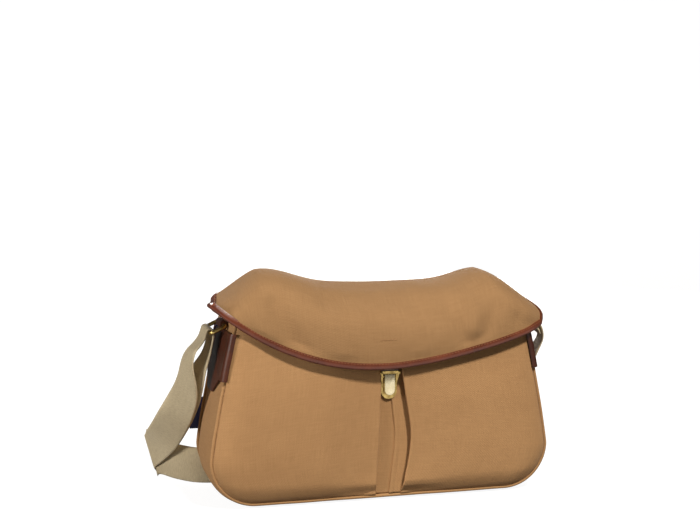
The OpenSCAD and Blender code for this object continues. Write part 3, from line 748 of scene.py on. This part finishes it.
def panel_point(side, u, w):
    """The front panel (side -1) lies flat, the back one (side 1) swells a little."""
    z = mix(SEAM_LIFT, RIM_Z, w)
    x = mix(-1, 1, u) * (panel_x(z) - 0.2 * MM)
    y = FACE_Y - 0.2 * MM
    if side > 0:
        y += puff(x, z, 5.5 * MM, 20 * MM) * (1 - 0.9 * smooth((z - 130 * MM) / (50 * MM)))
        y += 0.8 * MM * wobble(x, 0, z, 0.1, 4.4) * smooth(seam_gap(x, z) / (30 * MM)) * (1 - w)
    return (x, side * y, z)


def build_panels():
    for side, name, node in ((-1, "front_panel_cloth", "front_panel"),
                             (1, "back_panel_cloth", "back_panel")):
        obj = cloth_grid(name, lambda u, v: panel_point(side, u, v), 120, 70, DRILL, 1.6 * MM,
                         flip=side > 0)
        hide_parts(node)
        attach(obj, "body")


def build_lining():
    wall = 3.2 * MM

    def around(u, v):
        return gusset_point((2 * u - 1) * 0.985, mix(0.05, 0.95, v), -wall - 3 * MM)
    parts = [cloth_grid("lining_side", around, 150, 12, LINING, 0.8 * MM, flip=True)]
    for side in (-1, 1):
        def sheet(u, v):
            x, y, z = panel_point(-1, u, mix(0.03, 0.975, v))
            return (x * 0.975, side * (SEAM_Y - wall), z)
        parts.append(cloth_grid("lining_panel", sheet, 60, 40, LINING, 0.8 * MM, flip=side > 0))
    obj = joined(parts, "lining_cloth")
    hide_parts("lining")
    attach(obj, "body")


# ---- leather patches and chapes ----------------------------------------------------------
# Half of a patch's section, from its front edge to mid depth: out of the wall, and depth
PATCH_SECTION = [(0.2, -51.0), (0.8, -51.5), (1.6, -51.8), (2.6, -51.4), (3.8, -50.2), (4.6, -47.8),
                 (4.4, -44.0), (4.5, -38.0), (4.8, -28.0), (5.1, -14.0), (5.2, 0.0)]
PATCH_TOP = 179 * MM
PATCH_LOW = 132 * MM
PATCH_TAB_LOW = 116 * MM
PATCH_TAB_HALF = 16
PATCH_STEP_HALF = 38


def patch_low(y):
    """Height of the patch's lower edge: stepped down to a longer centre tab."""
    depth = abs(y) / MM
    if depth > PATCH_STEP_HALF:
        return PATCH_LOW
    if depth < PATCH_TAB_HALF:
        return PATCH_TAB_LOW
    return mix(PATCH_TAB_LOW, PATCH_LOW, (depth - PATCH_TAB_HALF) / (PATCH_STEP_HALF - PATCH_TAB_HALF))


def patch_point(side, q, r):
    """q runs round from the front edge to the back edge, r down from the top."""
    half = q if q <= 0.5 else 1 - q
    out, y = through(PATCH_SECTION, 2 * half) * MM
    if q > 0.5:
        y = -y
    z = mix(PATCH_TOP, patch_low(y), r)
    out += 0.25 * MM * wobble(y, 0, z, 0.02, side * 6.1)
    return (side * (wall_x(z) + out), y, z)


def patch_normal(side, q, r):
    e = 0.01
    a = Vector(patch_point(side, min(1, q + e), r)) - Vector(patch_point(side, max(0, q - e), r))
    b = Vector(patch_point(side, q, min(1, r + e))) - Vector(patch_point(side, q, max(0, r - e)))
    n = a.cross(b).normalized()
    return n if n.x * side > 0 or abs(n.x) < 0.5 and n.y * (q - 0.5) > 0 else -n


def stitch_rows():
    """Two rows along the patch's lower edge and one down each of its sides, as (q, r)."""
    down = [mix(0.04, 0.95, k / 40) for k in range(41)]
    around = [mix(0.02, 0.98, k / 160) for k in range(161)]
    return [[(0.032, r) for r in down], [(q, 0.955) for q in around],
            [(q, 0.90) for q in around], [(0.968, r) for r in down]]


def build_patches():
    for side, word in ((-1, "left"), (1, "right")):
        obj = cloth_grid("patch_leather_" + word, lambda u, v: patch_point(side, u, v), 120, 40,
                         PATCH_LEATHER, 1.5 * MM, flip=side < 0)
        bevel = obj.modifiers.new("edge", "BEVEL")
        bevel.width = 0.4 * MM
        bevel.segments = 2
        bevel.limit_method = "ANGLE"
        bevel.angle_limit = math.radians(50)
        bake_modifiers(obj)
        finish_edges(obj)
        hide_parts("side_patch_" + word)
        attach(obj, "body")
        for number, row in enumerate(stitch_rows()):
            thread_row = stitches("patch_stitches_%s_%d" % (word, number),
                                  [patch_point(side, q, r) for q, r in row],
                                  [patch_normal(side, q, r) for q, r in row], LEATHER_THREAD,
                                  2.2 * MM, 1.0 * MM, 0.36 * MM)
            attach(thread_row, "body")
        chape = softened("chape_" + word, "chape_leather_" + word, PATCH_LEATHER, 0.5 * MM)
        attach(chape, "body")


# ---- flap --------------------------------------------------------------------------------
FLAP_HALF_ROOT = 142 * MM
FLAP_HALF = 175 * MM
FLAP_TOP = 218
FLAP_EDGE = 140
RIDGE_Y = 20 * MM
RIDGE_V = 0.28
ROUNDNESS = 2 / 2.8
CORNER_ROUND = 5 * MM
INSET_U = 0.985      # where the cloth ends inside the binding, at the sides and in front
INSET_V = 0.995
HINGE = Vector([j for j in frame["joints"] if j["name"] == "flap_open"][0]["pos_m"])


def ridge_z(x):
    """Height of the flap's ridge, with its two humps. It is eased up where it would fall below the
    front edge, at the far left, so it stands up to 10 mm over the CAD's flap there."""
    low = edge_z(x) / MM + 1.5
    x = x / MM
    z = FLAP_TOP + 16.5 * bell((x + 110) / 44) + 12 * bell((x - 122) / 36)
    z -= (21 if x < 0 else 25) * (max(0.0, abs(x) - 118) / 54) ** 1.15
    return (low + 3 * math.log1p(math.exp((z - low) / 3))) * MM


def edge_z(x):
    """Height of the flap's front edge."""
    x = x / MM
    return (FLAP_EDGE + (65 * (-x / 174) ** 2.26 if x < 0 else 38 * (x / 174) ** 1.6)) * MM


def edge_y(x):
    """Depth of the flap's front edge, which curls back at both ends."""
    x = x / MM
    return (-66 + (16 * (-x / 174) ** 3 if x < 0 else 22 * (x / 172) ** 12)) * MM


def flap_half(v):
    return mix(FLAP_HALF_ROOT, FLAP_HALF, math.sin(math.pi / 2 * clamp01(v / 0.7)) ** 0.8)


def flap_point(u, v):
    """u from -1 to 1 across, v from 0 at the hinge to 1 at the front edge."""
    x = u * flap_half(v) - CORNER_ROUND * smooth((u - 0.85) / 0.15) * clamp01((v - 0.8) / 0.2) ** 2
    if v < RIDGE_V:
        a = math.pi / 2 * v / RIDGE_V
        y = RIDGE_Y + (HINGE.y - RIDGE_Y) * math.cos(a)
        z = HINGE.z + (ridge_z(x) - HINGE.z) * math.sin(a)
    else:
        b = math.pi / 2 * clamp01((v - RIDGE_V) / (1 - RIDGE_V))
        y = RIDGE_Y - (RIDGE_Y - edge_y(x)) * math.sin(b) ** ROUNDNESS
        z = edge_z(x) + (ridge_z(x) - edge_z(x)) * max(0.0, math.cos(b)) ** ROUNDNESS
    return Vector((x, y, z))


def flap_normal(u, v):
    e = 0.01
    across = flap_point(min(1, u + e), v) - flap_point(max(-1, u - e), v)
    along = flap_point(u, min(1, v + e)) - flap_point(u, max(0, v - e))
    return along.cross(across).normalized()


def flap_at(u, v, out):
    return flap_point(u, v) + flap_normal(u, v) * out


# Soft folds in the flap's cloth, in millimetres: from x, z to x, z, half width, depth
FLAP_FOLDS = [(-112, 208, -84, 154, 10, -4.5), (-136, 204, -116, 172, 12, 2.4), (-62, 190, -48, 158, 14, 2.0),
              (-55, 209, 30, 207, 13, -4.0), (66, 196, 82, 164, 8, -2.2), (116, 200, 95, 160, 8, -2.0),
              (92, 198, 90, 178, 9, 2.6), (126, 206, 148, 190, 10, 2.2), (10, 182, 34, 160, 16, 1.6),
              (140, 186, 160, 178, 8, -1.8), (-150, 205, -158, 198, 6, -1.5)]


def segment_gap(x, z, x0, z0, x1, z1):
    """Distance from a point to a line between two others."""
    dx, dz = x1 - x0, z1 - z0
    f = clamp01(((x - x0) * dx + (z - z0) * dz) / (dx * dx + dz * dz))
    return math.hypot(x - x0 - f * dx, z - z0 - f * dz)


def flap_fold(u, v):
    """How far the flap's cloth lies in or out of its smooth shape."""
    p = flap_point(u, v)
    out = sum(depth * bell(segment_gap(p.x / MM, p.z / MM, x0, z0, x1, z1) / width)
              for x0, z0, x1, z1, width, depth in FLAP_FOLDS)
    out *= smooth((RIDGE_Y - p.y) / (30 * MM))
    out += 0.7 * wobble(p.x, p.y, p.z, 0.05, 2.3)
    return out * MM * smooth((1 - v) / 0.05)


def spread(t):
    """Packs the rows towards the front edge, where the flap turns down fastest."""
    return mix(t, 1 - (1 - t) ** 1.4, smooth((t - 0.3) / 0.5))


def flap_cloth_point(u, v):
    """The cloth starts on the back panel, runs up over the hinge, and ends inside the binding."""
    sewn = 0.10
    x = 2 * u - 1
    if v < sewn:
        t = v / sewn
        y = mix(HINGE.y + 0.7 * MM, HINGE.y, t)
        return (x * FLAP_HALF_ROOT, y, mix(172 * MM, HINGE.z, t))
    v = spread((v - sewn) / (1 - sewn)) * INSET_V
    x *= INSET_U
    return tuple(flap_at(x, v, 0.8 * MM + flap_fold(x, v)))


def build_flap():
    # The flap's cloth takes the darker copy of the drill: painted shade.
    obj = cloth_grid("flap_cloth", flap_cloth_point, 200, 150, FLAP_DRILL_PAINTED_SHADE, 1.4 * MM, flip=True)
    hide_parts("flap")
    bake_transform(obj)

    def under(u, v):
        x = (2 * u - 1) * INSET_U
        w = mix(0.02, INSET_V, spread(v))
        return tuple(flap_at(x, w, -0.9 * MM + flap_fold(x, w)))
    lining = cloth_grid("flap_lining_cloth", under, 120, 80, LINING, 0.7 * MM, flip=True)
    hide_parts("flap_lining")
    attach(lining, "flap")


def rim_stations():
    """Points round the flap's free edge, from the left hinge to the right one."""
    side, front = 70, 220
    rows = [(-1.0, mix(0.03, 1, k / side)) for k in range(side)]
    rows += [(mix(-1, 1, k / front), 1.0) for k in range(front + 1)]
    rows += [(1.0, mix(1, 0.03, k / side)) for k in range(1, side + 1)]
    return rows


LEFT_WING_NORMAL = Vector((-0.25, -0.85, 0.45))


def rim_frames():
    """Edge point, direction into the flap and the cloth's normal, all round the free edge."""
    stations = rim_stations()
    places = [flap_point(u, v) for u, v in stations]
    rows = []
    for k, (u, v) in enumerate(stations):
        ahead = places[min(len(places) - 1, k + 2)] - places[max(0, k - 2)]
        n = flap_normal(u * 0.985, v * 0.985)
        wing = smooth((-u - 0.80) / 0.15) * smooth((v - 0.6) / 0.35)
        n = n.lerp(LEFT_WING_NORMAL, wing).normalized()
        inward = n.cross(ahead).normalized()
        if inward.dot(flap_point(u * 0.9, v * 0.9) - places[k]) < 0:
            inward = -inward
        rows.append((places[k], inward, n))
    return rows


BINDING = 6.2 * MM


def build_binding():
    rows = rim_frames()
    section = [(BINDING, 0.75 * MM), (BINDING, 1.55 * MM), (BINDING * 0.6, 2.0 * MM),
               (BINDING * 0.25, 2.0 * MM), (0.1 * MM, 1.5 * MM), (-0.7 * MM, 0.4 * MM),
               (-0.7 * MM, -0.8 * MM), (0.1 * MM, -1.9 * MM), (BINDING * 0.25, -2.4 * MM),
               (BINDING * 0.7, -2.4 * MM), (BINDING, -2.1 * MM), (BINDING, -1.5 * MM)]
    obj = swept("binding_leather", [r[0] for r in rows], [(r[1], r[2]) for r in rows], section, LEATHER)
    finish_edges(obj, 60)
    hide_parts("flap_binding")
    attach(obj, "flap")
    for name, lift, way in (("binding_stitches_top", 1.6 * MM, 1),
                            ("binding_stitches_under", -2.2 * MM, -1)):
        path = [r[0] + r[1] * (BINDING - 1.1 * MM) + r[2] * lift for r in rows]
        row = stitches(name, path, [r[2] * way for r in rows], LEATHER_THREAD,
                       2.3 * MM, 0.9 * MM, 0.34 * MM)
        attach(row, "flap")
    short = [(mix(-0.055, 0.045, k / 12) + 0.01, 0.885) for k in range(13)]
    row = stitches("tab_stitches", [flap_at(u, v, 0.95 * MM + flap_fold(u, v)) for u, v in short],
                   [flap_normal(u, v) for u, v in short], CLOTH_THREAD, 2.6 * MM, 0.7 * MM, 0.34 * MM)
    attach(row, "flap")


# ---- lock --------------------------------------------------------------------------------
def build_lock():
    for node, name, material, bevel, slot, body in (
            ("lock_base", "lock_base_brass", BRASS, 0.35 * MM, "antique_brass", "body"),
            ("lock_lever", "lock_tongue_brass", POLISHED, 0.8 * MM, "polished_brass", "lever"),
            ("lock_hasp", "lock_hasp_brass", BRASS, 0.3 * MM, "antique_brass", "hasp"),
            ("lock_tab", "lock_tab_leather", LEATHER, 0.4 * MM, "bridle_leather", "flap"),
            ("hasp_leather", "hasp_fold_leather", LEATHER, 0.4 * MM, "bridle_leather", "hasp")):
        obj = softened(node, name, material, bevel)
        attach(obj, body)
    for node, material in (("lock_backplate", BRASS), ("lock_rivets", BRASS), ("lock_pin", BRASS),
                           ("lock_spring", BRASS), ("hasp_rivets", BRASS), ("loop_left", BRASS),
                           ("loop_right", BRASS), ("strap_slide", BRASS), ("swing_tag", NAVY_CARD)):
        mesh = frame["nodes"][node].data
        mesh.materials.clear()
        mesh.materials.append(material)


# ---- strap -------------------------------------------------------------------------------
# Centre line of the doubled webbing from the left loop, behind the bag, to the right loop, in
# millimetres: place, then the direction of the webbing's width. The same rows as in the CAD.
STRAP_ROUTE = [
    (-170.7, 0, 176, 0, 1, 0), (-174, 3, 154.5, -.06, 1, -.05), (-180.5, 9, 137, -.18, .98, 0),
    (-187.5, 18, 118, -.4, .91, .1), (-194, 30, 99.5, -.6, .77, .22), (-202, 48, 77, -.75, .55, .35),
    (-210.5, 74, 53, -.72, .55, .42), (-218, 99, 35, -.4, .42, .8), (-221, 108, 28, -.2, .3, .93),
    (-212, 101, 23.5, -.1, .15, .98), (-195, 79, 22, 0, .05, 1), (-174, 62, 21, 0, 0, 1),
    (-140, 58.5, 20.5, 0, 0, 1), (-95, 64, 20.5, 0, 0, 1), (-50, 73, 21.5, 0, 0, 1),
    (0, 76, 22.8, 0, 0, 1), (40, 76, 23.5, 0, 0, 1), (80, 76, 22.8, 0, 0, 1), (125, 76, 21.5, 0, 0, 1),
    (158, 84, 25, .03, .1, .99), (175, 84, 42, .12, .4, .9), (180, 70, 66, .15, .62, .77),
    (180, 50, 93, .15, .8, .58), (180, 30, 119, .18, .95, .3), (186, 14, 140, .24, .96, .1),
    (190, 7, 155, .24, .97, 0), (183, 2, 168, .1, 1, 0), (170.7, 0, 176, 0, 1, 0)]
STRAP_W = 38 * MM
STRAP_T = 1.9 * MM
LAYER_GAP = 1.6 * MM
SLIDE_ROW = 16
SLIDE = Vector(STRAP_ROUTE[SLIDE_ROW][:3]) * MM
SLIDE_T = SLIDE_ROW / (len(STRAP_ROUTE) - 1)
SLIDE_WRAP = 2.9 * MM
SLIDE_OUT = 7 * MM
WRAP_R = 3.6 * MM
LOOP_AXIS = Vector([j for j in frame["joints"] if j["name"] == "right_loop_swing"][0]["pos_m"])
LOOP_TILT = math.radians(25)
LOOP_REACH = 16 * MM
RIGHT_BAR = LOOP_AXIS + Vector((LOOP_REACH * math.cos(LOOP_TILT), 0, -LOOP_REACH * math.sin(LOOP_TILT)))
LEFT_BAR = Vector((-RIGHT_BAR.x, 0, RIGHT_BAR.z))
# Shares of the route: where the layers leave a loop's bar, where the right end's inner layer stops,
# and where the left and right pieces meet behind the bag
FIRST_T = 0.012
TAIL_T = 0.94
CUT_T = 0.50
OVERLAP_T = 0.002


def route(t):
    row = through(STRAP_ROUTE, t)
    return Vector(row[:3]) * MM, Vector(row[3:]).normalized()


def route_normal(t):
    ahead = route(t + 0.004)[0] - route(t - 0.004)[0]
    return ahead.cross(route(t)[1]).normalized()


def layer_gap(t, at_slide):
    """How far a layer lies from the centre line: further out round the loops and at the slide."""
    near_ends = bell(t / 0.035) + bell((1 - t) / 0.035)
    near_slide = bell((t - SLIDE_T) / 0.045)
    return LAYER_GAP + (WRAP_R - LAYER_GAP) * near_ends + (at_slide - LAYER_GAP) * near_slide


def outer_layer(t):
    slack = 12 * MM * bell((t - 0.055) / 0.05) * smooth(t / 0.04)
    return route(t)[0] - route_normal(t) * (layer_gap(t, SLIDE_OUT) + slack), route(t)[1]


def inner_layer(t):
    return route(t)[0] + route_normal(t) * layer_gap(t, SLIDE_WRAP), route(t)[1]


def turn_round(bar, start):
    """Half a turn of webbing round a loop's bar."""
    return [(bar + WRAP_R * Vector((math.cos(a), 0, math.sin(a))), Vector((0, 1, 0)))
            for a in (start + math.pi * k / 12 for k in range(13))]


def webbing_mesh(name, line):
    """Flat band along stations of (place, width direction), with rounded edges."""
    half, t = STRAP_W / 2, STRAP_T / 2
    section = [(half, 0), (half - 0.5 * t, 0.8 * t), (half - 1.5 * t, t)]
    section += [(half * f, t) for f in (0.6, 0.2, -0.2, -0.6)]
    section += [(-half + 1.5 * t, t), (-half + 0.5 * t, 0.8 * t), (-half, 0)]
    section += [(x, -y) for x, y in section[-2:0:-1]]
    sides = []
    for k, (p, w) in enumerate(line):
        ahead = (line[min(len(line) - 1, k + 1)][0] - line[max(0, k - 1)][0]).normalized()
        turn = ahead.cross(w)
        sides.append((w / max(turn.length, 0.7), turn.normalized()))
    obj = swept(name, [p for p, w in line], sides, section, WEBBING)
    layer = obj.data.uv_layers[0]
    count = len(section)
    for polygon in obj.data.polygons:
        for corner in polygon.loop_indices:
            station, k = divmod(obj.data.loops[corner].vertex_index, count)
            layer.data[corner].uv = (section[k][0] + half, layer.data[corner].uv[1])
    return obj


def ease_fold(obj):
    """Relaxes the webbing where it folds over on itself, at the far left."""
    group = obj.vertex_groups.new(name="fold")
    for v in obj.data.vertices:
        group.add([v.index], smooth((-v.co.x - 200 * MM) / (12 * MM)), "REPLACE")
    relax = obj.modifiers.new("relax", "SMOOTH")
    relax.factor = 0.5
    relax.iterations = 10
    relax.vertex_group = "fold"
    bake_modifiers(obj)
    obj.vertex_groups.clear()


def stations(low, high):
    """The 300ths of the route that lie between two shares of it."""
    return [k / 300 for k in range(301) if low < k / 300 < high]


def build_strap():
    """Three pieces that meet behind the bag: the left loop's, the slide's and the right loop's."""
    left_n, right_n = route_normal(FIRST_T), route_normal(1 - FIRST_T)
    left_start = math.atan2(left_n.z, left_n.x)
    right_start = math.atan2(-right_n.z, -right_n.x)
    slide_turn = [(SLIDE + SLIDE_WRAP * Vector((math.cos(a), math.sin(a), 0)), Vector((0, 0, 1)))
                  for a in (math.pi / 2 - math.pi * k / 10 for k in range(11))]
    left = [inner_layer(t) for t in reversed(stations(FIRST_T, CUT_T + OVERLAP_T))]
    left += turn_round(LEFT_BAR, left_start)
    left += [outer_layer(t) for t in stations(FIRST_T, CUT_T + OVERLAP_T)]
    strap_left = webbing_mesh("strap_webbing_left", left)
    ease_fold(strap_left)
    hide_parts("strap")
    tail = [(Vector((x * MM, SLIDE.y + SLIDE_WRAP, SLIDE.z)), Vector((0, 0, 1))) for x in (20, 24, 29, 34)]
    back = tail + slide_turn
    back += [inner_layer(t) for t in reversed(stations(CUT_T - OVERLAP_T, SLIDE_T - 0.008))]
    strap_back = webbing_mesh("strap_webbing_end", back)
    right = [outer_layer(t) for t in stations(CUT_T - OVERLAP_T, 1 - FIRST_T)]
    right += turn_round(RIGHT_BAR, right_start)
    right += [inner_layer(t) for t in reversed(stations(TAIL_T, 1 - FIRST_T))]
    strap_right = webbing_mesh("strap_webbing_right", right)
    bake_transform(strap_left)
    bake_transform(strap_right)
    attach(strap_back, "body")


# ---- swing tag ---------------------------------------------------------------------------
STRING_ROUTE = [(-157.8, 14.4, 180), (-158.4, 18, 178.8), (-160.2, 24, 174.5), (-164, 34, 158),
                (-168, 45, 136), (-172, 57, 114), (-173, 61, 102), (-173, 61, 96)]


def build_tag_string():
    data = bpy.data.curves.new("tag_string_line", "CURVE")
    data.dimensions = "3D"
    data.bevel_depth = 0.8 * MM
    data.bevel_resolution = 3
    spline = data.splines.new("POLY")
    count = 40
    spline.points.add(count)
    points = [Vector(through(STRING_ROUTE, k / count)) * MM for k in range(count + 1)]
    for target, p in zip(spline.points, points):
        target.co = (*p, 1)
    data.materials.append(NAVY_THREAD)
    obj = bpy.data.objects.new("tag_string_line", data)
    bpy.context.scene.collection.objects.link(obj)
    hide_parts("tag_string")
    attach(obj, "tag")


add_camera()
add_stage()
add_lights()
build_tag_string()
build_gusset()
build_piping()
build_panels()
build_pockets()
build_pleat()
build_lining()
build_patches()
build_flap()
build_binding()
build_lock()
build_strap()
